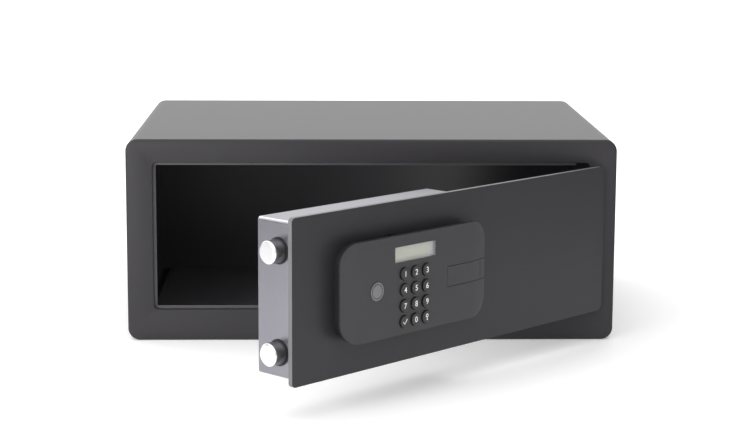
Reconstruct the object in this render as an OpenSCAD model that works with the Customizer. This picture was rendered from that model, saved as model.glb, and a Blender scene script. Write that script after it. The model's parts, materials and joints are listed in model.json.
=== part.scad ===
// Hotel room safe: a laptop-size steel case with a side-hinged door, a keypad
// module, two motorised bolts, and an emergency key lock under a small flap.
// Millimetres. Z is up, the front faces -Y, and the origin is at the centre of
// the underside of the case. The door stands half open.

/* [Case] */
// Overall width of the case
case_w = 480; // [440:1:560]
// Overall height of the case
case_h = 200; // [196:1:260]
// Overall depth of the case
case_d = 350; // [250:1:450]
// Outside radius of the long edges of the case
case_r = 12; // [6:1:20]
// Thickness of the case sheet
sheet_t = 3; // [2:0.5:4]
// Distance between the two fixing holes, in the back and in the base
fixing_pitch = 220; // [120:5:300]
// Diameter of the fixing holes
fixing_d = 11; // [8:0.5:14]
// Height of the fixing holes in the back
fixing_z = 50; // [40:5:150]
// Thickness of the carpet on the floor of the case
mat_t = 3; // [2:0.5:5]

/* [Door opening] */
// Width of the opening in the front
open_w = 428; // [400:1:428]
// Height of the opening in the front
open_h = 146; // [140:1:146]
// Height of the opening's lower edge above the underside
open_z = 31; // [31:1:40]
// Radius of the opening's corners
open_r = 4.5; // [2:0.5:8]
// How far the stop strip reaches into the opening
stop_lap = 3; // [2:0.5:4]

/* [Door] */
// Thickness of the door plate
plate_t = 4.5; // [4:0.5:5]
// Height of the door plate
plate_h = 143; // [136:1:143]
// Gap between the opening's lower edge and the door plate
plate_gap = 1; // [1:0.5:2]
// Radius of the door plate's corners
plate_r = 4; // [2:0.5:6]
// Angle that the door stands open at
door_angle = 45; // [0:5:45]

/* [Hinge] */
// Diameter of the hinge rod
rod_d = 8; // [6:1:9]
// Height of each hinge arm
arm_h = 22; // [14:1:24]
// Radial clearance of a running fit
run_gap = 0.05; // [0.02:0.01:0.1]

/* [Bolts] */
// Diameter of the locking bolts
bolt_d = 20; // [16:1:22]
// Distance between the axes of the two bolts
bolt_pitch = 86.5; // [80:0.5:90]
// How far a thrown bolt stands out of the lock cover
bolt_throw = 13.5; // [8:0.5:14]

/* [Keypad module] */
// Width of the keypad module
module_w = 185; // [180:1:190]
// Height of the keypad module
module_h = 87; // [84:1:92]
// Radius of the keypad module's corners
module_r = 19; // [12:1:24]
// How far the middle of the module stands out of the door
module_p = 16; // [15:0.5:18]
// How far the module's ends fall away from its middle
module_fall = 3.6; // [1:0.2:4]
// Diameter of the keys
key_d = 11; // [9:0.5:11.2]
// Distance between the axes of neighbouring keys
key_pitch = 14.05; // [13.6:0.05:14.5]
// How far the keys stand out of the module
key_rise = 1.8; // [1.4:0.1:2.4]

/* [Hidden] */
$fn = 64;

eps = 0.01;

// The opening, and the door plate inside it
open_x = open_w / 2;
open_top = open_z + open_h;
gap_free = 1;
gap_hinge = 1.5;
plate_x0 = -open_x + gap_free;
plate_x1 = open_x - gap_hinge;
plate_z0 = open_z + plate_gap;
plate_z1 = plate_z0 + plate_h;
bevel = 3.4;

// The hinge axis, behind the front and to the right of the opening
hinge_x = open_x + 13.5;
hinge_y = 14.5;
rod_r = rod_d / 2;
bush_r = rod_r + 1.5;
eye_r = rod_r + 4;
tab_t = 3;
washer_t = 1;
flange_t = 1.2;
side_gap = 0.3;
tab_z = 39;
arm_z = tab_z + tab_t + washer_t + side_gap + flange_t;
// The upper arm, washer and tab mirror the lower ones about this height
hinge_mid_z = 103.5;
// The gooseneck clears the lip of the opening as the door swings
bridge_y = hinge_y + 14.7;
bridge_t = 5;
leg_x = hinge_x - 27;
foot_l = 40;
arm_screw_x = [leg_x - foot_l + 8, leg_x - 10];

// The stop strip behind the opening's edges
stop_y = 6;
stop_t = 2;
stop_rim = 8;
stop_end_x = 200.7;

// The lock cover behind the door plate
cover_x0 = plate_x0 + 4.5;
cover_x1 = 5;
cover_z0 = plate_z0 + 5;
cover_z1 = plate_z1 - 4;
cover_y = 45;
cover_t = 1.5;
cover_r = 3;
post_x = [-186, -3.5];
post_z = [cover_z0 + 6.5, cover_z1 - 6.5];
reset_x = -104;
reset_z = 62;

// Bolts, carriage, rack and pinion
bolt_r = bolt_d / 2;
bolt_y = 20.5;
bolt_mid_z = 101.75;
bolt_z = [bolt_mid_z + bolt_pitch / 2, bolt_mid_z - bolt_pitch / 2];
bolt_tip_x = cover_x0 - bolt_throw;
bolt_len = 37;
tail_r = 5;
tail_len = 45;
bush_wall = 1.5;
guide_x = cover_x0 + 9.5;
guide_t = 2.5;
rear_guide_x = bolt_tip_x + bolt_len + tail_len - 6;
carriage_x = bolt_tip_x + bolt_len + 17;
carriage_t = 4;
tooth = PI;
pinion_teeth = 14;
pitch_r = pinion_teeth * tooth / (2 * PI);
rack_y = bolt_y + 0.5;
rack_h = 8;
rack_back = 6;
rack_end_x = -100;
pinion_x = -128;
pinion_y = rack_y + pitch_r;
tooth_up = 0.85;
tooth_down = 1.25;

// Emergency lock
lock_x = -19;
lock_z = 103.5;
barrel_r = 8;
plug_r = 5.5;
pocket_p = 10;

// Battery compartment
cell_r = 7.2;
cell_len = 50.5;
cell_pitch = 15.2;
cells = 4;
tray_x0 = -76;
tray_w = cells * cell_pitch + 3;
tray_z0 = 75;
tray_h = 56;

// Keypad module: places on the door, and heights out from the door's front
module_x = -75.4;
module_z = 104.6;
module_x0 = module_x - module_w / 2;
module_x1 = module_x + module_w / 2;
module_z0 = module_z - module_h / 2;
module_z1 = module_z + module_h / 2;
end_zone_l = 19.8;
end_zone_r = 21.6;
skin = 2.2;
gasket_p = 1;
base_p = 7.8;
base_inset = 3.5;
housing_inset = 0.4;
end_p = module_p - module_fall;
module_screw_x = [-150, -5];
module_screw_z = [76, 133];
keys_x = -79.9;
keys_z = 93.2;
key_gap = 0.3;
key_flange = 0.7;
window_x = -79.5;
window_z = 131.6;
window_w = 52;
window_h = 13.6;
badge_x = -128.3;
badge_z = 103.7;
badge_r = 8;
flap_x = -37.6;
flap_z = 103.5;
flap_h = 17.8;
flap_gap = 0.35;
flap_axis_x = flap_x + skin / 2;
flap_axis_p = module_p - skin / 2;

board_z0 = 112;
board_z1 = 164;
board_x0 = -114;
board_x1 = -80;
board_y = 10;
cable_x = -96;
cable_z = 138;

steel_dark = "#3d3b3e";
steel_grey = "#8d8c93";
zinc = "#b9bbc0";
plastic_dark = "#3f3f43";
plastic_black = "#1b1b1d";

// ---- frames of reference ----

// y is 0 at the front of the case and grows towards the back
module front() {
    translate([0, -case_d / 2, 0]) children();
}

// The door's pieces are drawn with the door shut, and swung out here
module door() {
    front() translate([hinge_x, hinge_y, 0]) rotate([0, 0, door_angle])
        translate([-hinge_x, -hinge_y, 0]) children();
}

// ---- helpers ----

// A flat outline in X and Z, thick from y0 to y1
module slab(y0, y1) {
    translate([0, y1, 0]) rotate([90, 0, 0]) linear_extrude(y1 - y0) children();
}

// A flat outline in X and Y, tall from z0 to z1
module column(z0, z1) {
    translate([0, 0, z0]) linear_extrude(z1 - z0) children();
}

module block(x0, x1, y0, y1, z0, z1) {
    translate([x0, y0, z0]) cube([x1 - x0, y1 - y0, z1 - z0]);
}

// A rectangle with round corners, from one corner to the other
module round_rect(x0, z0, x1, z1, r) {
    translate([x0 + r, z0]) square([x1 - x0 - 2 * r, z1 - z0]);
    translate([x0, z0 + r]) square([x1 - x0, z1 - z0 - 2 * r]);
    for (x = [x0 + r, x1 - r], z = [z0 + r, z1 - r]) translate([x, z]) circle(r);
}

// A round bar along X, Y or Z
module bar_x(x0, x1, y, z, r) {
    translate([x0, y, z]) rotate([0, 90, 0]) cylinder(h = x1 - x0, r = r);
}
module bar_y(x, y0, y1, z, r) {
    translate([x, y1, z]) rotate([90, 0, 0]) cylinder(h = y1 - y0, r = r);
}
module bar_z(x, y, z0, z1, r) {
    translate([x, y, z0]) cylinder(h = z1 - z0, r = r);
}

// A pan head screw along Y: its head stands on y, and its shank goes towards -Y
module screw_y(x, y, z, shank_r, shank_l, head_r, head_h) {
    difference() {
        bar_y(x, y, y + head_h, z, head_r);
        translate([x, y + head_h, z]) for (a = [0, 90]) rotate([0, a, 0])
            cube([head_r * 1.3, head_h, head_r * 0.28], center = true);
    }
    bar_y(x, y - shank_l, y, z, shank_r);
}

// ---- the case ----

module case_outline(inset) {
    round_rect(-case_w / 2 + inset, inset, case_w / 2 - inset, case_h - inset, case_r - inset);
}

module opening_outline(grow) {
    round_rect(-open_x - grow, open_z - grow, open_x + grow, open_top + grow, open_r + grow);
}

module case_shell() {
    color(steel_dark) front() difference() {
        slab(sheet_t, case_d - sheet_t) case_outline(0);
        slab(0, case_d) case_outline(sheet_t);
        for (x = [-1, 1]) bar_z(x * fixing_pitch / 2, case_d / 2, -1, sheet_t + 1, fixing_d / 2);
    }
}

module front_frame() {
    color(steel_dark) front() slab(0, sheet_t) difference() {
        case_outline(0);
        opening_outline(0);
    }
}

module back_panel() {
    color(steel_dark) front() difference() {
        slab(case_d - sheet_t, case_d) case_outline(0);
        for (x = [-1, 1])
            bar_y(x * fixing_pitch / 2, case_d - sheet_t - 1, case_d + 1, fixing_z, fixing_d / 2);
    }
}

// A stepped strip round three sides of the opening, which the shut door rests near
module door_stop() {
    color(steel_dark) front() intersection() {
        union() {
            slab(sheet_t, stop_y) difference() {
                opening_outline(stop_rim);
                opening_outline(0);
            }
            slab(stop_y, stop_y + stop_t) difference() {
                opening_outline(stop_rim);
                opening_outline(-stop_lap);
            }
        }
        block(-case_w / 2, stop_end_x, 0, 20, 0, case_h);
    }
}

// The carpet lies loose over the heads of the base's fixing screws
module floor_mat() {
    half_w = case_w / 2 - case_r - 1;
    color("#26262b") front()
        block(-half_w, half_w, 10, case_d - 6, sheet_t, sheet_t + mat_t);
}

// ---- the hinge ----

module upside_down() {
    translate([0, 0, 2 * hinge_mid_z]) mirror([0, 0, 1]) children();
}

// A tab that holds the rod, on a flange welded to the side wall
module hinge_bracket() {
    wall_x = case_w / 2 - sheet_t;
    difference() {
        union() {
            block(hinge_x - 10, wall_x, hinge_y - 10, hinge_y + 14, tab_z, tab_z + tab_t);
            block(wall_x - 3, wall_x, hinge_y - 10, hinge_y + 14, tab_z - 19, tab_z);
        }
        bar_z(hinge_x, hinge_y, 0, 60, rod_r + run_gap);
    }
}

module hinge_bracket_lower() {
    color(steel_dark) front() hinge_bracket();
}

module hinge_bracket_upper() {
    color(steel_dark) front() upside_down() hinge_bracket();
}

module hinge_rod() {
    top = 2 * hinge_mid_z - tab_z;
    color(zinc) front() {
        bar_z(hinge_x, hinge_y, tab_z - 5, top, rod_r);
        bar_z(hinge_x, hinge_y, top, top + 2.5, rod_r + 2.5);
    }
}

module rod_clip() {
    color(zinc) front() translate([hinge_x, hinge_y, tab_z - 1.5]) linear_extrude(1.2)
        difference() {
            circle(rod_r + 2.5);
            circle(rod_r);
            translate([0, -1.5]) square([20, 3]);
        }
}

module hinge_washer() {
    difference() {
        bar_z(hinge_x, hinge_y, tab_z + tab_t, tab_z + tab_t + washer_t, eye_r - 0.5);
        bar_z(hinge_x, hinge_y, 0, 60, rod_r + run_gap);
    }
}

module hinge_washers() {
    color("#d8d4c8") front() {
        hinge_washer();
        upside_down() hinge_washer();
    }
}

// A gooseneck arm: a foot on the door plate, a leg, a bridge round the lip, and an eye
module hinge_arm() {
    color(steel_grey) difference() {
        column(arm_z, arm_z + arm_h) difference() {
            union() {
                translate([leg_x - foot_l, plate_t]) square([foot_l + 5, 3]);
                translate([leg_x, plate_t]) square([5, bridge_y - plate_t]);
                translate([leg_x + bridge_t, bridge_y]) square([hinge_x - leg_x, bridge_t]);
                translate([leg_x + bridge_t, bridge_y]) circle(bridge_t);
                translate([hinge_x - 5, hinge_y]) square([10, bridge_y + bridge_t - hinge_y]);
                translate([hinge_x, hinge_y]) circle(eye_r);
            }
            translate([hinge_x, hinge_y]) circle(bush_r);
        }
        for (x = arm_screw_x) bar_y(x, 0, 20, arm_z + arm_h / 2, 2);
    }
}

module hinge_arm_lower() {
    door() hinge_arm();
}

module hinge_arm_upper() {
    door() upside_down() hinge_arm();
}

module hinge_bush() {
    difference() {
        union() {
            bar_z(hinge_x, hinge_y, arm_z, arm_z + arm_h, bush_r);
            bar_z(hinge_x, hinge_y, arm_z - flange_t, arm_z, eye_r - 0.5);
        }
        bar_z(hinge_x, hinge_y, 0, 100, rod_r + run_gap);
    }
}

module hinge_bushes() {
    color("#b98b4a") door() {
        hinge_bush();
        upside_down() hinge_bush();
    }
}

module arm_screw_pair() {
    for (x = arm_screw_x) screw_y(x, plate_t + 3, arm_z + arm_h / 2, 2, 6, 3.8, 2.2);
}

module arm_screws() {
    color(zinc) door() {
        arm_screw_pair();
        upside_down() arm_screw_pair();
    }
}

// ---- the door plate ----

module door_plate() {
    color(steel_dark) door() difference() {
        slab(0, plate_t) intersection() {
            round_rect(plate_x0, plate_z0, plate_x1, plate_z1, plate_r);
            round_rect(plate_x0 - 20, plate_z0, plate_x1, plate_z1, plate_r + 3);
        }
        // the hinge edge is bevelled at the back, to pass the lip of the opening
        column(0, case_h)
            polygon([[plate_x1 + 1, 0.8], [plate_x1, 0.8], [plate_x1 - bevel, plate_t],
                     [plate_x1 - bevel, plate_t + 1], [plate_x1 + 1, plate_t + 1]]);
        bar_y(cable_x, -1, plate_t + 1, cable_z, 9);
        bar_y(lock_x, -1, plate_t + 1, lock_z, barrel_r);
        for (x = module_screw_x, z = module_screw_z) bar_y(x, -1, plate_t + 1, z, 2);
        for (x = arm_screw_x) {
            bar_y(x, 1.5, plate_t + 1, arm_z + arm_h / 2, 2);
            bar_y(x, 1.5, plate_t + 1, 2 * hinge_mid_z - arm_z - arm_h / 2, 2);
        }
    }
}

// ---- the lock behind the door plate ----

// The folded cover: four sides and a back
module lock_cover() {
    color(steel_grey) door() difference() {
        slab(plate_t, cover_y) round_rect(cover_x0, cover_z0, cover_x1, cover_z1, cover_r);
        slab(0, cover_y - cover_t)
            round_rect(cover_x0 + cover_t, cover_z0 + cover_t,
                       cover_x1 - cover_t, cover_z1 - cover_t, cover_r - cover_t);
        for (z = bolt_z) bar_x(cover_x0 - 1, cover_x0 + 5, bolt_y, z, bolt_r + bush_wall);
        block(tray_x0 + 2, tray_x0 + tray_w - 2, 40, 50, tray_z0 + 2, tray_z0 + tray_h - 2);
        for (x = post_x, z = post_z) bar_y(x, 40, 50, z, 1.8);
        bar_y(reset_x, 40, 50, reset_z, 3.3);
    }
}

module cover_posts() {
    color(zinc) door() difference() {
        for (x = post_x, z = post_z) bar_y(x, plate_t, cover_y - cover_t, z, 4);
        for (x = post_x, z = post_z) bar_y(x, cover_y - 12, cover_y, z, 1.8);
    }
}

module cover_screws() {
    color(zinc) door()
        for (x = post_x, z = post_z) screw_y(x, cover_y, z, 1.8, 9, 3.4, 2);
}

// An upright plate on a foot, with a hole for each bolt and a slot for the rack
module guide_plate(x, hole_r) {
    slot = rack_h / 2 + 1.5;
    difference() {
        union() {
            block(x, x + guide_t, plate_t, 38, cover_z0 + 3, cover_z1 - 3);
            block(x, x + 12, plate_t, plate_t + guide_t, bolt_z[1] + 13, bolt_mid_z - 5);
        }
        for (z = bolt_z) bar_x(x - 1, x + guide_t + 1, bolt_y, z, hole_r);
        block(x - 1, x + guide_t + 1, rack_y - tooth_down - rack_back - 1, rack_y + 3,
              bolt_mid_z - slot, bolt_mid_z + slot);
    }
}

module lock_chassis() {
    color("#9a9ba0") door() {
        guide_plate(guide_x, bolt_r + bush_wall);
        guide_plate(rear_guide_x, tail_r + 0.08);
    }
}

module bolt_bushes() {
    color(plastic_black) door() for (z = bolt_z) difference() {
        bar_x(cover_x0 - 0.6, guide_x + guide_t, bolt_y, z, bolt_r + bush_wall);
        bar_x(cover_x0 - 5, guide_x + 10, bolt_y, z, bolt_r + 0.08);
    }
}

// A bolt with a chamfered nose and a thinner tail
module bolt(z) {
    chamfer = 1.5;
    difference() {
        translate([bolt_tip_x, bolt_y, z]) rotate([0, 90, 0]) {
            cylinder(h = chamfer, r1 = bolt_r - chamfer, r2 = bolt_r);
            translate([0, 0, chamfer]) cylinder(h = bolt_len - chamfer, r = bolt_r);
            translate([0, 0, bolt_len]) cylinder(h = tail_len, r = tail_r);
        }
        bar_x(carriage_x, carriage_x + carriage_t, bolt_y, z, 20);
    }
    bar_x(carriage_x, carriage_x + carriage_t, bolt_y, z, tail_r - 1);
}

module bolt_upper() {
    color("#d9dade") door() bolt(bolt_z[0]);
}

module bolt_lower() {
    color("#d9dade") door() bolt(bolt_z[1]);
}

// The upright bar that ties the bolts together, with the rack that the pinion drives
module rack_outline() {
    translate([carriage_x, rack_y - tooth_down - rack_back])
        square([rack_end_x - carriage_x, rack_back]);
    for (i = [-8:7]) translate([pinion_x + i * tooth, rack_y])
        polygon([[-1.0, -tooth_down - eps], [-0.25, tooth_up], [0.25, tooth_up],
                 [1.0, -tooth_down - eps]]);
}

module bolt_carriage() {
    color("#a9abb0") door() {
        difference() {
            block(carriage_x, carriage_x + carriage_t, bolt_y - 7.5, bolt_y + 7.5,
                  bolt_z[1] - 8, bolt_z[0] + 8);
            for (z = bolt_z)
                bar_x(carriage_x - 1, carriage_x + carriage_t + 1, bolt_y, z, tail_r - 1);
        }
        column(bolt_mid_z - rack_h / 2, bolt_mid_z + rack_h / 2) difference() {
            rack_outline();
            translate([carriage_x - 1, 0]) square([1 + carriage_t, 60]);
        }
    }
}

module drive_pinion() {
    color("#c9b071") door() column(bolt_mid_z - 4.5, bolt_mid_z + 4.5)
        translate([pinion_x, pinion_y]) difference() {
            union() {
                circle(pitch_r - tooth_down);
                for (i = [0:pinion_teeth - 1]) rotate(-90 + (i + 0.5) * 360 / pinion_teeth)
                    polygon([[pitch_r - tooth_down - 0.5, -0.95], [pitch_r + tooth_up, -0.25],
                             [pitch_r + tooth_up, 0.25], [pitch_r - tooth_down - 0.5, 0.95]]);
            }
            circle(1.55);
        }
}

module lock_motor() {
    z0 = bolt_mid_z + 8;
    color("#c4c6ca") door() {
        block(pinion_x - 6, pinion_x + 6, pinion_y - 5, pinion_y + 5, z0, z0 + 9);
        bar_z(pinion_x, pinion_y, z0 + 9, z0 + 9 + 20, 6);
        bar_z(pinion_x, pinion_y, z0 + 29, z0 + 30.5, 2.5);
        bar_z(pinion_x, pinion_y, bolt_mid_z - 5, z0, 1.5);
    }
}

module motor_bracket() {
    z1 = bolt_mid_z + 8;
    color("#9a9ba0") door() difference() {
        union() {
            block(pinion_x - 12, pinion_x + 12, plate_t, pinion_y + 8, z1 - 2, z1);
            block(pinion_x - 12, pinion_x + 12, plate_t, plate_t + 2, z1, z1 + 16);
        }
        bar_z(pinion_x, pinion_y, z1 - 3, z1 + 1, 2);
    }
}

module battery_holder() {
    x1 = tray_x0 + tray_w;
    y0 = cover_y - cover_t - 18;
    color(plastic_black) door() difference() {
        block(tray_x0, x1, y0, cover_y - cover_t, tray_z0, tray_z0 + tray_h);
        block(tray_x0 + 1.5, x1 - 1.5, y0 + 1.5, cover_y, tray_z0 + 1.5, tray_z0 + tray_h - 1.5);
    }
}

module batteries() {
    color("#4a6a52") door() for (i = [0:cells - 1]) {
        x = tray_x0 + 1.5 + cell_pitch * (i + 0.5);
        y = cover_y - cover_t - 16.5 + cell_r + 0.1;
        bar_z(x, y, tray_z0 + 2, tray_z0 + 2 + cell_len, cell_r);
        bar_z(x, y, tray_z0 + 2 + cell_len, tray_z0 + 3.6 + cell_len, 2.7);
    }
}

// The cover slides towards the hinge to open the battery compartment
module battery_cover() {
    x0 = tray_x0 - 2;
    z0 = tray_z0 - 3;
    y0 = cover_y + 0.3;
    color(plastic_black) door() {
        slab(y0, y0 + 2)
            round_rect(x0, z0, tray_x0 + tray_w + 2, tray_z0 + tray_h + 3, 3);
        for (i = [0:4])
            block(x0 + 8 + 3 * i, x0 + 9.2 + 3 * i, y0 + 2, y0 + 2.8, z0 + 18, z0 + 44);
    }
}

module control_board() {
    color("#1f5a3a") door() block(board_x0, board_x1, board_y, board_y + 1.6, board_z0, board_z1);
}

module board_components() {
    y = board_y + 1.6;
    color(plastic_black) door() {
        block(board_x0 + 6, board_x0 + 18, y, y + 1.6, board_z0 + 6, board_z0 + 18);
        block(board_x0 + 22, board_x0 + 30, y, y + 1.4, board_z0 + 8, board_z0 + 16);
        block(board_x0 + 4, board_x0 + 12, y, y + 6, board_z1 - 12, board_z1 - 4);
        for (i = [0:2]) bar_y(board_x0 + 18 + 6 * i, y, y + 8, board_z0 + 26, 2.4);
        bar_y(board_x1 - 8, y, y + 6, board_z1 - 9, 4.5);
    }
}

module reset_button() {
    color("#a62a25") door() {
        bar_y(reset_x, cover_y - cover_t - 2.5, cover_y + 0.8, reset_z, 3);
        bar_y(reset_x, cover_y - cover_t - 3.5, cover_y - cover_t - 2.5, reset_z, 4.2);
    }
}

// ---- the keypad module on the front of the door ----

// p is the height out from the front of the door plate
module proud(p0, p1) {
    slab(-p1, -p0) children();
}

module module_outline(inset) {
    round_rect(module_x0 + inset, module_z0 + inset, module_x1 - inset, module_z1 - inset,
               module_r - inset);
}

// The module seen from above: a flat middle, and ends that fall away
module crown(p0, drop) {
    column(0, case_h)
        polygon([[module_x0 - 1, -p0], [module_x1 + 1, -p0],
                 [module_x1 + 1, drop - end_p + module_fall / end_zone_r],
                 [module_x1 - end_zone_r, drop - module_p],
                 [module_x0 + end_zone_l, drop - module_p],
                 [module_x0 - 1, drop - end_p + module_fall / end_zone_l]]);
}

module flap_outline(gap) {
    translate([flap_x - gap, flap_z - flap_h / 2 - gap])
        square([module_x1 - flap_x + 5, flap_h + 2 * gap]);
}

key_names = ["1", "2", "3", "4", "5", "6", "7", "8", "9", "enter", "0", "lock"];
function key_x(i) = keys_x + key_pitch * (i % 3 - 1);
function key_z(i) = keys_z + key_pitch * (1.5 - floor(i / 3));

module keypad_gasket() {
    color("#101011") door() difference() {
        proud(0, gasket_p) module_outline(base_inset + 0.5);
        proud(-1, gasket_p + 1) module_outline(base_inset + 6);
    }
}

module keypad_base() {
    color(plastic_black) door() difference() {
        proud(gasket_p, base_p) module_outline(base_inset);
        proud(gasket_p + 2, base_p + 1) difference() {
            module_outline(base_inset + 2);
            translate([lock_x, lock_z]) circle(barrel_r + 2.5);
            for (x = module_screw_x, z = module_screw_z) translate([x, z]) circle(4);
        }
        bar_y(cable_x, -base_p - 1, 0, cable_z, 9);
        bar_y(lock_x, -base_p - 1, 0, lock_z, barrel_r);
        for (x = module_screw_x, z = module_screw_z) bar_y(x, -base_p - 1, 0, z, 1.5);
    }
}

// The wall that carries the fascia, with the block that holds the emergency lock
module keypad_housing() {
    wall = 2.4;
    color(plastic_black) door() difference() {
        union() {
            intersection() {
                proud(base_p, module_p + 1) difference() {
                    module_outline(housing_inset);
                    module_outline(wall);
                }
                crown(0, skin);
            }
            proud(base_p, pocket_p) intersection() {
                flap_outline(2);
                module_outline(wall);
            }
        }
        proud(pocket_p, module_p + 1) flap_outline(flap_gap);
        bar_y(lock_x, -20, 0, lock_z, barrel_r);
    }
}

// A bent plate, with holes for the keys, the display window and the flap
module keypad_fascia() {
    color(plastic_dark) door() difference() {
        intersection() {
            proud(base_p, module_p + 1) module_outline(0);
            crown(0, 0);
        }
        crown(-1, skin);
        for (i = [0:11]) bar_y(key_x(i), -module_p - 1, -base_p, key_z(i), key_d / 2 + key_gap);
        proud(base_p, module_p + 1) translate([window_x - window_w / 2, window_z - window_h / 2])
            square([window_w, window_h]);
        proud(base_p, module_p + 1) flap_outline(flap_gap);
    }
}

module keypad_board() {
    color("#1f5a3a") door() difference() {
        proud(base_p + 0.4, base_p + 1.8) translate([-150, 66]) square([106, 76]);
        for (z = module_screw_z) bar_y(module_screw_x[0], -12, 0, z, 5);
    }
}

module key_mat() {
    p = base_p + 1.8;
    color("#2b2b2e") door() {
        proud(p, p + 0.8) translate([keys_x - 24, keys_z - 29]) square([48, 58]);
        for (i = [0:11]) bar_y(key_x(i), -p - 1.2, -p - 0.8, key_z(i), 3);
    }
}

module display_panel() {
    top = module_p - skin - 0.9;
    color("#b9c2a8") door() proud(base_p + 1.8, top)
        translate([window_x - window_w / 2 - 2, window_z - window_h / 2 - 1.4])
            square([window_w + 4, window_h + 2.8]);
}

// A clear block that fills the hole in the fascia, on a flange behind it
module display_window() {
    top = module_p - skin;
    fit = 0.15;
    color("#c8d2b8") door() {
        proud(top - 0.9, top)
            translate([window_x - window_w / 2 - 2, window_z - window_h / 2 - 1.4])
                square([window_w + 4, window_h + 2.8]);
        proud(top, module_p - 0.2)
            translate([window_x - window_w / 2 + fit, window_z - window_h / 2 + fit])
                square([window_w - 2 * fit, window_h - 2 * fit]);
    }
}

module badge_disc() {
    color("#a0a1a3") door() difference() {
        bar_y(badge_x, -module_p - 0.7, -module_p, badge_z, badge_r);
        difference() {
            bar_y(badge_x, -module_p - 1, -module_p - 0.45, badge_z, badge_r - 1.4);
            bar_y(badge_x, -module_p - 2, -module_p, badge_z, badge_r - 2.2);
        }
    }
}

module module_screws() {
    color(zinc) door()
        for (x = module_screw_x, z = module_screw_z) screw_y(x, plate_t, z, 1.5, 8, 3.2, 2);
}

module keypad_cable() {
    color("#8f8f94") door()
        block(cable_x - 7, cable_x + 7, -base_p - 0.4, board_y, cable_z - 0.6, cable_z + 0.6);
}

// The flap pivots on its round left edge, and follows the fascia's fall at the right
module key_flap() {
    slope = module_fall / end_zone_r;
    color(plastic_dark) door() difference() {
        column(flap_z - flap_h / 2, flap_z + flap_h / 2) {
            translate([flap_axis_x, -flap_axis_p]) circle(skin / 2);
            polygon([[flap_axis_x, -module_p], [module_x1 - end_zone_r, -module_p],
                     [module_x1, -end_p], [module_x1, skin - end_p],
                     [module_x1 - end_zone_r, skin - module_p], [flap_axis_x, skin - module_p]]);
        }
        // a shallow finger groove near the free end
        translate([module_x1 - 7.3, slope * 14.3 - module_p, flap_z])
            rotate([0, 0, atan(slope)]) cube([0.8, 1.2, 13], center = true);
    }
}

module lock_barrel() {
    color(zinc) door() difference() {
        bar_y(lock_x, -pocket_p, plate_t + 14, lock_z, barrel_r);
        bar_y(lock_x, -pocket_p - 1, plate_t + 15, lock_z, plug_r + run_gap);
    }
}

module lock_plug() {
    color("#c9b071") door() difference() {
        bar_y(lock_x, -pocket_p - 0.3, plate_t + 15.5, lock_z, plug_r);
        block(lock_x - 0.9, lock_x + 0.9, -pocket_p - 1, 0, lock_z - 3.6, lock_z + 3.6);
    }
}

module lock_cam() {
    y0 = plate_t + 15.5;
    color("#9a9ba0") door() slab(y0, y0 + 2) {
        translate([lock_x, lock_z]) circle(6);
        translate([lock_x - 4, lock_z]) square([8, 16]);
        translate([lock_x, lock_z + 16]) circle(4);
    }
}

// A key cap with a flange that keeps it behind the fascia
module key_cap(i) {
    top = module_p + key_rise;
    foot = module_p - skin - 1.2;
    color("#4b4b4f") door() {
        bar_y(key_x(i), -top, -foot, key_z(i), key_d / 2);
        bar_y(key_x(i), -foot - key_flange, -foot, key_z(i), key_d / 2 + 0.9);
    }
}

case_shell();
front_frame();
door_stop();
back_panel();
floor_mat();
hinge_bracket_lower();
hinge_bracket_upper();
hinge_rod();
rod_clip();
hinge_washers();
door_plate();
hinge_arm_lower();
hinge_arm_upper();
hinge_bushes();
arm_screws();
lock_chassis();
bolt_bushes();
lock_cover();
cover_posts();
cover_screws();
battery_holder();
batteries();
battery_cover();
control_board();
board_components();
motor_bracket();
lock_motor();
drive_pinion();
bolt_upper();
bolt_lower();
bolt_carriage();
reset_button();
keypad_cable();
keypad_gasket();
keypad_base();
keypad_housing();
keypad_fascia();
keypad_board();
key_mat();
display_panel();
display_window();
badge_disc();
module_screws();
key_flap();
lock_barrel();
lock_plug();
lock_cam();
for (i = [0:11])
    key_cap(i);
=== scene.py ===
import json
import math
import random

import bmesh
import bpy
from mathutils import Matrix, Vector


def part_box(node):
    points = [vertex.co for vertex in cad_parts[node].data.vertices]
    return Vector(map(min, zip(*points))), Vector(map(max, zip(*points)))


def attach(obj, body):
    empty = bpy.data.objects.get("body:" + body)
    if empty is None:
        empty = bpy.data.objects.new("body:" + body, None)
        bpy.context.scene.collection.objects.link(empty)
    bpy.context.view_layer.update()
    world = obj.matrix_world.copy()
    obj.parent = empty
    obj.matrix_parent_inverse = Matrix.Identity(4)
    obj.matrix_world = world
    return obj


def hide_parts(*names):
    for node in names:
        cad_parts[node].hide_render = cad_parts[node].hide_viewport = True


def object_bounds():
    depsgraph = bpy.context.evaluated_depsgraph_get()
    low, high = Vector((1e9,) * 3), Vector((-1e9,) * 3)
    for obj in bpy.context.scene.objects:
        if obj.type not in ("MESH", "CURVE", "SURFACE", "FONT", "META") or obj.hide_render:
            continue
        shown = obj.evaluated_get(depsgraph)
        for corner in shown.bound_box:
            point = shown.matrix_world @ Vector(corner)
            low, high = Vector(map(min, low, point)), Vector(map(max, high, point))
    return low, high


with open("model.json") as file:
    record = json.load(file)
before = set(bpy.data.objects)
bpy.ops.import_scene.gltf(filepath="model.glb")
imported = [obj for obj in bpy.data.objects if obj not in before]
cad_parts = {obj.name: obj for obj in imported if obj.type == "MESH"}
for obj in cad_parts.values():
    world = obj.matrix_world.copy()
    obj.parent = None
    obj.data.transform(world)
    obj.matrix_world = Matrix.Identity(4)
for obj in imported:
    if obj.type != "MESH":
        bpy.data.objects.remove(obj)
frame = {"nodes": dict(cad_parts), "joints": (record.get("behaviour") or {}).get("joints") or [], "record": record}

MM = 0.001
NODES = frame["nodes"]
SLOT_OF = {s["node"]: s["material_slot"] for s in frame["record"]["subparts"]}
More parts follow.
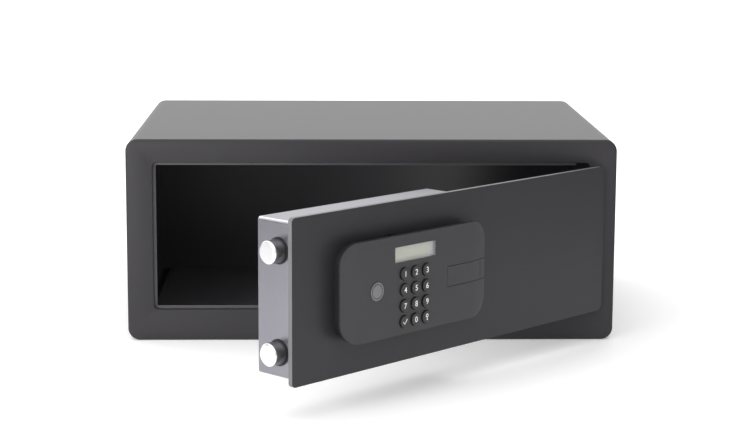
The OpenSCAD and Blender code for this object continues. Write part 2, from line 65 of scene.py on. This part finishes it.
BODY_OF = {n: b for b, ns in frame["record"]["behaviour"]["bodies"].items() for n in ns}
JOINT = {j["name"]: j for j in frame["joints"]}
KEYS = [n for n in NODES if n.startswith("key_") and n not in ("key_flap", "key_mat")]
cad_low, cad_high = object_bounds()

# The stage, in metres and radians
CAMERA_PLACE = (-0.0507, -2.0076, 0.4379)
CAMERA_PITCH, CAMERA_YAW, CAMERA_ROLL = 0.17138, 0.0294, 0.00507
FOCAL_MM = 91.1
FLOOR_HALF = 15.0
FLOOR_DROP = 0.2 * MM
BRIGHT_SIDE = (-0.5, 0.3, 0.81)
DIM, BRIGHT = 0.2, 1.5

# Directions of the door as it stands at rest: out of its face, along it, and up
OUT = -Vector(JOINT["key_5_press"]["axis"])
ALONG = Vector(JOINT["bolt_slide"]["axis"])
UP = Vector((0, 0, 1))


# ---- camera, world and stage ----

def make_camera():
    """A level-headed product shot: slightly from the left and from above."""
    data = bpy.data.cameras.new("camera")
    data.sensor_width = 36
    data.lens = FOCAL_MM
    data.clip_start = 0.05
    data.clip_end = 50
    camera = bpy.data.objects.new("camera", data)
    flat = math.cos(CAMERA_PITCH)
    look = Vector((math.sin(CAMERA_YAW) * flat, math.cos(CAMERA_YAW) * flat,
                   -math.sin(CAMERA_PITCH)))
    right = look.cross(UP).normalized()
    up = right.cross(look)
    tilted = right * math.cos(CAMERA_ROLL) + up * math.sin(CAMERA_ROLL)
    up = tilted.cross(look)
    turn = Matrix((tilted, up, -look)).transposed()
    camera.matrix_world = Matrix.Translation(CAMERA_PLACE) @ turn.to_4x4()
    bpy.context.scene.collection.objects.link(camera)
    bpy.context.scene.camera = camera


def make_world():
    """A room that is bright above, behind and to the left, and dim to the front right."""
    world = bpy.data.worlds.new("studio")
    world.use_nodes = True
    tree = world.node_tree
    backdrop = tree.nodes["Background"]
    backdrop.inputs["Color"].default_value = (1, 1, 1, 1)
    place = tree.nodes.new("ShaderNodeTexCoord")
    toward = tree.nodes.new("ShaderNodeVectorMath")
    toward.operation = "DOT_PRODUCT"
    toward.inputs[1].default_value = BRIGHT_SIDE
    tree.links.new(place.outputs["Generated"], toward.inputs[0])
    ramp = tree.nodes.new("ShaderNodeMapRange")
    ramp.inputs["From Min"].default_value = -0.6
    ramp.inputs["From Max"].default_value = 0.3
    ramp.inputs["To Min"].default_value = DIM
    ramp.inputs["To Max"].default_value = BRIGHT
    ramp.interpolation_type = "SMOOTHSTEP"
    tree.links.new(toward.outputs["Value"], ramp.inputs["Value"])
    # what is seen past the floor is plain white
    seen = tree.nodes.new("ShaderNodeLightPath")
    pick = tree.nodes.new("ShaderNodeMix")
    pick.inputs["B"].default_value = 1.0
    tree.links.new(seen.outputs["Is Camera Ray"], pick.inputs["Factor"])
    tree.links.new(ramp.outputs["Result"], pick.inputs["A"])
    tree.links.new(pick.outputs["Result"], backdrop.inputs["Strength"])
    bpy.context.scene.world = world
    bpy.context.scene.view_settings.view_transform = "Standard"


def make_light(name, place, target, size, power):
    """A soft rectangular light that faces a target."""
    data = bpy.data.lights.new(name, "AREA")
    data.shape = "RECTANGLE"
    data.size, data.size_y = size
    data.energy = power
    light = bpy.data.objects.new(name, data)
    light.location = place
    aim = Vector(target) - Vector(place)
    light.rotation_mode = "QUATERNION"
    light.rotation_quaternion = aim.to_track_quat("-Z", "Y")
    bpy.context.scene.collection.objects.link(light)


def make_flag(name, corner, across, up, slot):
    """A pale board that stands out of view, to set what the object reflects."""
    corner, across, up = Vector(corner), Vector(across), Vector(up)
    mesh = bpy.data.meshes.new(name)
    mesh.from_pydata([corner, corner + across, corner + across + up, corner + up],
                     [], [(0, 1, 2, 3)])
    flag = bpy.data.objects.new(name, mesh)
    bpy.context.scene.collection.objects.link(flag)
    flag.data.materials.append(MATERIALS[slot])
    flag.visible_camera = False


def make_floor():
    """A white table top, wide enough that its edge stays out of view."""
    mesh = bpy.data.meshes.new("floor")
    half = FLOOR_HALF
    mesh.from_pydata([(-half, -half, 0), (half, -half, 0), (half, half, 0), (-half, half, 0)],
                     [], [(0, 1, 2, 3)])
    floor = bpy.data.objects.new("floor", mesh)
    floor.location.z = -FLOOR_DROP
    bpy.context.scene.collection.objects.link(floor)
    floor.data.materials.append(MATERIALS["floor"])


# ---- materials ----

def blank(name, **values):
    """A new material, its node tree, and its Principled shader with these sockets set."""
    material = bpy.data.materials.new(name)
    material.use_nodes = True
    shader = material.node_tree.nodes["Principled BSDF"]
    for key, value in values.items():
        shader.inputs[SOCKETS[key]].default_value = value
    return material, material.node_tree, shader


SOCKETS = {
    "metallic": "Metallic", "alpha": "Alpha",
    "sheen": "Sheen Weight", "sheen_roughness": "Sheen Roughness",
    "specular": "Specular IOR Level", "glow": "Emission Strength",
}


def noise(tree, scale, detail=4, roughness=0.55, stretch=(1, 1, 1)):
    """Noise in metres on the object's own coordinates; stretch slows it along an axis."""
    place = tree.nodes.new("ShaderNodeTexCoord")
    mapping = tree.nodes.new("ShaderNodeMapping")
    mapping.inputs["Scale"].default_value = stretch
    texture = tree.nodes.new("ShaderNodeTexNoise")
    texture.inputs["Scale"].default_value = scale
    texture.inputs["Detail"].default_value = detail
    texture.inputs["Roughness"].default_value = roughness
    tree.links.new(place.outputs["Object"], mapping.inputs["Vector"])
    tree.links.new(mapping.outputs["Vector"], texture.inputs["Vector"])
    return texture.outputs["Fac"]


def spread(tree, source, low, high):
    """Maps 0..1 onto low..high."""
    node = tree.nodes.new("ShaderNodeMapRange")
    node.inputs["To Min"].default_value = low
    node.inputs["To Max"].default_value = high
    tree.links.new(source, node.inputs["Value"])
    return node.outputs["Result"]


def tint(tree, source, dark, light):
    """A colour between dark and light."""
    node = tree.nodes.new("ShaderNodeMix")
    node.data_type = "RGBA"
    node.inputs["A"].default_value = (*dark, 1)
    node.inputs["B"].default_value = (*light, 1)
    tree.links.new(source, node.inputs["Factor"])
    return node.outputs["Result"]


def bump(tree, shader, source, depth, strength):
    """Raises the surface by up to depth metres where the source is bright."""
    node = tree.nodes.new("ShaderNodeBump")
    node.inputs["Distance"].default_value = depth
    node.inputs["Strength"].default_value = strength
    tree.links.new(source, node.inputs["Height"])
    tree.links.new(node.outputs["Normal"], shader.inputs["Normal"])


def shade(rgb, factor):
    """A colour made darker or lighter."""
    return tuple(min(1.0, c * factor) for c in rgb)


def grained(name, rgb, roughness, vary=0.12, grain=900, depth=0.00006, rough_vary=0.06,
            stretch=(1, 1, 1), bump_strength=0.5, **values):
    """The common finish: a colour and a roughness that vary a little, over a fine bump."""
    material, tree, shader = blank(name, **values)
    broad = noise(tree, 14, detail=3, stretch=stretch)
    fine = noise(tree, grain, detail=2, stretch=stretch)
    tree.links.new(tint(tree, broad, shade(rgb, 1 - vary), shade(rgb, 1 + vary)),
                   shader.inputs["Base Color"])
    tree.links.new(spread(tree, fine, roughness - rough_vary, roughness + rough_vary),
                   shader.inputs["Roughness"])
    bump(tree, shader, fine, depth, bump_strength)
    return material


def turned_metal(name, rgb, roughness):
    """Metal with a very fine, faint grain that stands for the marks a lathe leaves."""
    return grained(name, rgb, roughness, vary=0.03, grain=2500, depth=0.00001,
                   rough_vary=0.03, bump_strength=0.25, metallic=1.0)


def make_materials():
    """Every material by name, painted highlights and a painted reflection among them: the record's material slots
    first of all.
    """
    m = {}
    m["powder_coat"] = grained("powder_coat", (0.0290, 0.0270, 0.0305), 0.42, vary=0.05,
                               grain=1400, depth=0.00010, bump_strength=0.35,
                               specular=0.3)
    # painted highlight: a lighter grey for the door plate's top and free-end edges, where the light catches them;
    # the bottom edge keeps the powder coat
    m["painted_edge_highlight"] = grained("painted_edge_highlight", (0.15, 0.148, 0.153), 0.5, vary=0.05, grain=1400,
                            depth=0.00005, bump_strength=0.3)
    # painted light: a lighter grey for the stop strip's faces that look to the front
    m["stop_painted_light"] = grained("stop_painted_light", (0.075, 0.073, 0.078), 0.4, vary=0.05, grain=1400)
    m["lock_steel"] = grained("lock_steel", (0.27, 0.265, 0.295), 0.33, vary=0.06, grain=1200,
                              depth=0.00002, stretch=(1, 1, 0.08), bump_strength=0.3,
                              metallic=1.0)
    # painted highlight: a bright metal for the lock cover's upper fold
    m["fold_painted_highlight"] = grained("fold_painted_highlight", (0.80, 0.80, 0.84), 0.3, vary=0.03, metallic=1.0)
    m["zinc"] = turned_metal("zinc", (0.62, 0.63, 0.65), 0.28)
    m["bolt_chrome"] = turned_metal("bolt_chrome", (0.80, 0.80, 0.81), 0.25)
    # painted reflection: a dark metal on the bolts' sides for the dim room they mirror; the tips keep the chrome
    m["bolt_side_painted_dark"] = grained("bolt_side_painted_dark", (0.30, 0.30, 0.315), 0.38, vary=0.3, grain=700,
                             depth=0.00004, bump_strength=0.4, metallic=1.0)
    m["carpet"] = grained("carpet", (0.017, 0.017, 0.024), 0.95, vary=0.5, grain=1800,
                          depth=0.0012, bump_strength=1.0, sheen=0.06, sheen_roughness=0.6)
    m["black_nylon"] = grained("black_nylon", (0.008, 0.008, 0.009), 0.5)
    m["bronze"] = turned_metal("bronze", (0.60, 0.38, 0.17), 0.35)
    m["acetal"] = grained("acetal", (0.68, 0.66, 0.60), 0.45, vary=0.04)
    m["grey_plastic"] = grained("grey_plastic", (0.044, 0.043, 0.046), 0.46, vary=0.05,
                                grain=2200, depth=0.00005, bump_strength=0.35, specular=0.3)
    m["key_plastic"] = grained("key_plastic", (0.020, 0.020, 0.022), 0.40, vary=0.04,
                               grain=3000, depth=0.00002)
    m["gasket_rubber"] = grained("gasket_rubber", (0.008, 0.008, 0.008), 0.75)
    m["circuit_board"] = grained("circuit_board", (0.02, 0.11, 0.05), 0.35, vary=0.15,
                                 grain=500)
    m["chip_plastic"] = grained("chip_plastic", (0.016, 0.016, 0.018), 0.5)
    m["cell_wrap"] = grained("cell_wrap", (0.05, 0.13, 0.08), 0.3, vary=0.05, grain=200)
    m["display_grey"] = grained("display_grey", (0.49, 0.505, 0.43), 0.5, vary=0.03,
                                grain=300, depth=0.00001, bump_strength=0.1)
    m["display_edge"] = grained("display_edge", (0.44, 0.41, 0.46), 0.5, vary=0.03,
                                grain=300, depth=0.00001, bump_strength=0.1)
    m["badge_metal"] = turned_metal("badge_metal", (0.24, 0.24, 0.245), 0.45)
    m["badge_dark"] = turned_metal("badge_dark", (0.10, 0.10, 0.105), 0.5)
    m["brass"] = turned_metal("brass", (0.72, 0.52, 0.20), 0.28)
    m["reset_red"] = grained("reset_red", (0.45, 0.02, 0.015), 0.3, vary=0.05)
    m["ribbon"] = grained("ribbon", (0.30, 0.30, 0.32), 0.5, stretch=(1, 1, 0.1))
    m["sign_white"] = grained("sign_white", (0.95, 0.95, 0.95), 0.5, vary=0.02, grain=2000)
    m["floor"] = grained("floor", (0.95, 0.95, 0.95), 0.9, vary=0.005, grain=60,
                         depth=0.0001, bump_strength=0.05, glow=0.2)
    m["flag_grey"] = grained("flag_grey", (0.30, 0.30, 0.30), 0.9)
    m["flag_pale"] = grained("flag_pale", (0.45, 0.45, 0.45), 0.9)
    m["display_clear"] = grained("display_clear", (0.9, 0.9, 0.9), 0.1, vary=0.01,
                                 grain=200, depth=0.00001, bump_strength=0.05, alpha=0.12)
    return m


def paint(obj, slot):
    """Gives an object one finish."""
    obj.data.materials.clear()
    obj.data.materials.append(MATERIALS[slot])
    return obj


# ---- building ----

def link_piece(name, mesh, body, slot, stands_for=()):
    """A finished mesh becomes a piece on its body."""
    piece = bpy.data.objects.new(name, mesh)
    bpy.context.scene.collection.objects.link(piece)
    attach(piece, body)
    if stands_for:
        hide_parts(*stands_for)
    paint(piece, slot)
    return piece


def finish_mesh(bm, name, sharp_angle=35):
    """Smooth faces with sharp edges marked, as a mesh."""
    bmesh.ops.recalc_face_normals(bm, faces=bm.faces)
    for face in bm.faces:
        face.smooth = True
    limit = math.radians(sharp_angle)
    for edge in bm.edges:
        edge.smooth = edge.calc_face_angle(0) < limit
    mesh = bpy.data.meshes.new(name)
    bm.to_mesh(mesh)
    bm.free()
    return mesh


def clean_copy(node):
    """The CAD node's mesh with its doubled corners merged and its flat faces whole."""
    bm = bmesh.new()
    bm.from_mesh(NODES[node].data)
    bmesh.ops.remove_doubles(bm, verts=bm.verts, dist=0.002 * MM)
    bmesh.ops.dissolve_limit(bm, angle_limit=math.radians(0.3), verts=bm.verts,
                             edges=bm.edges)
    return bm


def round_edges(bm, width, segments=3, where=None, angle=40):
    """Rounds the edges that are sharper than angle and lie where the test says."""
    sharp = [e for e in bm.edges if e.calc_face_angle(0) > math.radians(angle)
             and (where is None or all(where(v.co) for v in e.verts))]
    if sharp:
        bmesh.ops.bevel(bm, geom=sharp, offset=width, segments=segments, profile=0.5,
                        affect="EDGES", clamp_overlap=True, loop_slide=True,
                        miter_outer="ARC")


def even_shading(piece):
    """Keeps large flat faces flat to the eye, and the shading change inside the roundings."""
    weighted = piece.modifiers.new("weighted", "WEIGHTED_NORMAL")
    weighted.keep_sharp = True
    return piece


def softened(node, width, segments=3, where=None):
    """A copy of a CAD node with its sharp edges rounded, which stands for it."""
    bm = clean_copy(node)
    round_edges(bm, width, segments, where)
    mesh = finish_mesh(bm, node + "_soft")
    return even_shading(link_piece(node + "_soft", mesh, BODY_OF[node], SLOT_OF[node], (node,)))


def second_material(piece, slot, test):
    """Gives another material to the faces that pass the test, which gets centre and normal: a real finish on some
    pieces, painted highlight, reflection or shade on others.
    """
    piece.data.materials.append(MATERIALS[slot])
    for face in piece.data.polygons:
        if test(face.center, face.normal):
            face.material_index = 1


def face_centre(node, direction):
    """The middle of a node's outermost face along a direction."""
    low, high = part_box(node)
    centre = (low + high) / 2
    reach = max(v.co.dot(direction) for v in NODES[node].data.vertices)
    return centre + direction * (reach - centre.dot(direction))


# ---- the pieces ----

def build_case():
    """The case's front, back, stop strip and hinge brackets, with rounded edges."""
    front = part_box("front_frame")[0].y
    half_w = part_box("front_frame")[1].x

    def outer_front(co):
        at_rim = (abs(co.x) > half_w - 13 * MM or co.z < 13 * MM
                  or co.z > cad_high.z - 13 * MM)
        return co.y < front + 0.1 * MM and at_rim

    bm = clean_copy("front_frame")
    round_edges(bm, 2.4 * MM, 4, outer_front)
    round_edges(bm, 0.8 * MM, 3, lambda co: co.y < front + 0.1 * MM and not outer_front(co))
    link_piece("front_frame_soft", finish_mesh(bm, "front_frame_soft"), "case",
               "powder_coat", ("front_frame",))
    softened("back_panel", 1.2 * MM, 3, lambda co: co.y > cad_high.y - 0.1 * MM)
    stop = softened("door_stop", 0.4 * MM, 2)
    # painted light: the stop strip's front faces get a lighter grey
    second_material(stop, "stop_painted_light", lambda _place, normal: normal.y < -0.5)
    for node in ("hinge_bracket_lower", "hinge_bracket_upper"):
        softened(node, 0.5 * MM, 2)


def build_door():
    """The plate, lock cover and bolts, each with a second material (a painted highlight on the plate's top and
    free-end edges and on the cover's fold, a painted dark reflection on the bolts' sides), and the hinge arms.
    """
    plate = softened("door_plate", 0.6 * MM, 3)
    # painted highlight on the plate's top and free-end edges
    second_material(plate, "painted_edge_highlight", lambda _place, normal:
                  abs(normal.dot(OUT)) < 0.5 and (normal.z > 0.5 or normal.dot(ALONG) < -0.5))
    cover = softened("lock_cover", 1.1 * MM, 3)
    # painted highlight along the cover's upper fold
    second_material(cover, "fold_painted_highlight", lambda _place, normal:
                  0.3 < normal.z < 0.95 and normal.dot(ALONG) < -0.3)
    for node in ("bolt_upper", "bolt_lower"):
        bolt = softened(node, 0.25 * MM, 2)
        # painted dark reflection on the bolts' sides
        second_material(bolt, "bolt_side_painted_dark",
                      lambda _place, normal: abs(normal.dot(ALONG)) < 0.3)
    for node in ("hinge_arm_lower", "hinge_arm_upper", "battery_cover"):
        softened(node, 0.5 * MM, 2)


def build_module():
    """The keypad module, its badge and its keys."""
    softened("keypad_fascia", 0.3 * MM, 2)
    softened("keypad_housing", 0.3 * MM, 2)
    softened("keypad_base", 0.4 * MM, 2)
    softened("key_flap", 0.2 * MM, 2)
    badge = softened("badge_disc", 0.12 * MM, 2)
    face = max(v.co.dot(OUT) for v in badge.data.vertices)
    second_material(badge, "badge_dark", lambda place, _normal: place.dot(OUT) < face - 0.15 * MM)
    for node in KEYS:
        key = softened(node, 0.45 * MM, 3)
        # painted shade: the keys' sides take the black nylon, standing for the shade in the gap around each key
        second_material(key, "black_nylon", lambda _place, normal: normal.dot(OUT) < 0.6)


def build_display():
    """The pale edge of the display panel, seen through the right end of the window."""
    low, high = corner_span("display_window")
    strip = bmesh.new()
    # the panel's face, just under the window
    bmesh.ops.create_cube(strip, size=1.0)
    size = Vector((4.4 * MM, high.y - low.y - 3 * MM, 0.3 * MM))
    centre = Vector((high.x - 3.4 * MM, (low.y + high.y) / 2, low.z + 0.2 * MM))
    for vert in strip.verts:
        spot = centre + Vector(a * b for a, b in zip(vert.co, size))
        vert.co = ALONG * spot.x + UP * spot.y + OUT * spot.z
    round_edges(strip, 0.1 * MM, 2)
    link_piece("display_edge", finish_mesh(strip, "display_edge"), "door", "display_edge")


def corner_span(node):
    """A node's extent measured along, up and out from the door, as two vectors."""
    spots = [Vector((v.co.dot(ALONG), v.co.z, v.co.dot(OUT))) for v in NODES[node].data.vertices]
    return (Vector(min(p[i] for p in spots) for i in range(3)),
            Vector(max(p[i] for p in spots) for i in range(3)))


def text_mesh(sign, size, thick):
    """A sign as a solid mesh, centred on the origin."""
    curve = bpy.data.curves.new("sign", "FONT")
    curve.body = sign
    curve.size = size
    curve.extrude = thick / 2
    curve.offset = size * 0.002
    curve.align_x = "CENTER"
    curve.align_y = "CENTER"
    holder = bpy.data.objects.new("sign", curve)
    bpy.context.scene.collection.objects.link(holder)
    bpy.context.view_layer.update()
    mesh = bpy.data.meshes.new_from_object(holder)
    bpy.data.objects.remove(holder)
    return mesh


def stroke_mesh(paths, width, thick):
    """Round-ended strokes of one width, drawn in X and Y, as a solid mesh."""
    curve = bpy.data.curves.new("strokes", "CURVE")
    curve.dimensions = "3D"
    curve.bevel_depth = width / 2
    curve.bevel_resolution = 2
    curve.use_fill_caps = True
    for path, closed in paths:
        spline = curve.splines.new("POLY")
        spline.points.add(len(path) - 1)
        for point, (x, y) in zip(spline.points, path):
            point.co = (x, y, 0, 1)
        spline.use_cyclic_u = closed
    holder = bpy.data.objects.new("strokes", curve)
    bpy.context.scene.collection.objects.link(holder)
    bpy.context.view_layer.update()
    mesh = bpy.data.meshes.new_from_object(holder)
    bpy.data.objects.remove(holder)
    mesh.transform(Matrix.Diagonal((1, 1, thick / width, 1)))
    return mesh


def lay_on(node, mesh):
    """Centres a sign that is drawn in X and Y, and lays it on a key's top."""
    xs = [v.co.x for v in mesh.vertices]
    ys = [v.co.y for v in mesh.vertices]
    centring = Matrix.Translation((-(min(xs) + max(xs)) / 2, -(min(ys) + max(ys)) / 2, 0))
    axes = Matrix((ALONG, UP, OUT)).transposed().to_4x4()
    mesh.transform(Matrix.Translation(face_centre(node, OUT)) @ axes @ centring)
    link_piece(node.replace("key_", "sign_"), mesh, BODY_OF[node], "sign_white")


def build_signs():
    """The keys' legends: digits, a tick and a small key."""
    thick = 0.12 * MM
    for digit in "1234567890":
        lay_on("key_" + digit, text_mesh(digit, 7.0 * MM, thick))
    tick = [(-2.3 * MM, 0.3 * MM), (-0.8 * MM, -1.9 * MM), (2.5 * MM, 2.4 * MM)]
    lay_on("key_enter", stroke_mesh([(tick, False)], 0.8 * MM, thick))
    bow = [(1.3 * MM * math.cos(a), 1.3 * MM * math.sin(a) + 1.4 * MM)
           for a in (math.tau * i / 20 for i in range(20))]
    shank = [(0, 0.1 * MM), (0, -2.8 * MM)]
    bit = [(0, -2.2 * MM), (0.9 * MM, -2.2 * MM)]
    lay_on("key_lock", stroke_mesh([(bow, True), (shank, False), (bit, False)], 0.7 * MM, thick))


def build_carpet():
    """Needle felt: a thin pad whose top is uneven, with worn-down edges."""
    low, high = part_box("floor_mat")
    cell = 3 * MM
    across = round((high.x - low.x) / cell)
    deep = round((high.y - low.y) / cell)
    bm = bmesh.new()
    bmesh.ops.create_grid(bm, x_segments=across, y_segments=deep, size=0.5)
    rng = random.Random(4)
    for vert in bm.verts:
        edge = min(0.5 - abs(vert.co.x), 0.5 - abs(vert.co.y))
        sink = rng.uniform(0.05, 0.5) * MM + (0.8 * MM if edge < 1e-6 else 0)
        vert.co = Vector((low.x + (vert.co.x + 0.5) * (high.x - low.x),
                          low.y + (vert.co.y + 0.5) * (high.y - low.y), high.z - sink))
    rim = bmesh.ops.extrude_edge_only(bm, edges=[e for e in bm.edges if e.is_boundary])
    for item in rim["geom"]:
        if isinstance(item, bmesh.types.BMVert):
            item.co.z = low.z
    piece = link_piece("carpet", finish_mesh(bm, "carpet", 80), "case", "carpet", ("floor_mat",))


def paint_cad_nodes():
    """Finishes for the CAD nodes that are shown as they are."""
    for name, node in NODES.items():
        if not node.hide_render:
            paint(node, SLOT_OF[name])


MATERIALS = make_materials()
make_camera()
make_world()
make_floor()
make_light("inside", (0.12, -0.06, 0.09), (-0.24, 0.03, 0.16), (0.10, 0.10), 0.25)
make_light("front", (-0.9, -1.2, 0.4), (-0.15, -0.17, 0.1), (0.5, 0.5), 8)
make_flag("right", (0.8, -1.0, 0), (0, 1.6, 0), (0, 0, 1.6), "flag_grey")
make_flag("left", (-1.0, -1.2, 0), (0, 1.4, 0), (0, 0, 1.0), "flag_pale")
build_case()
build_door()
build_module()
build_display()
build_signs()
build_carpet()
paint_cad_nodes()
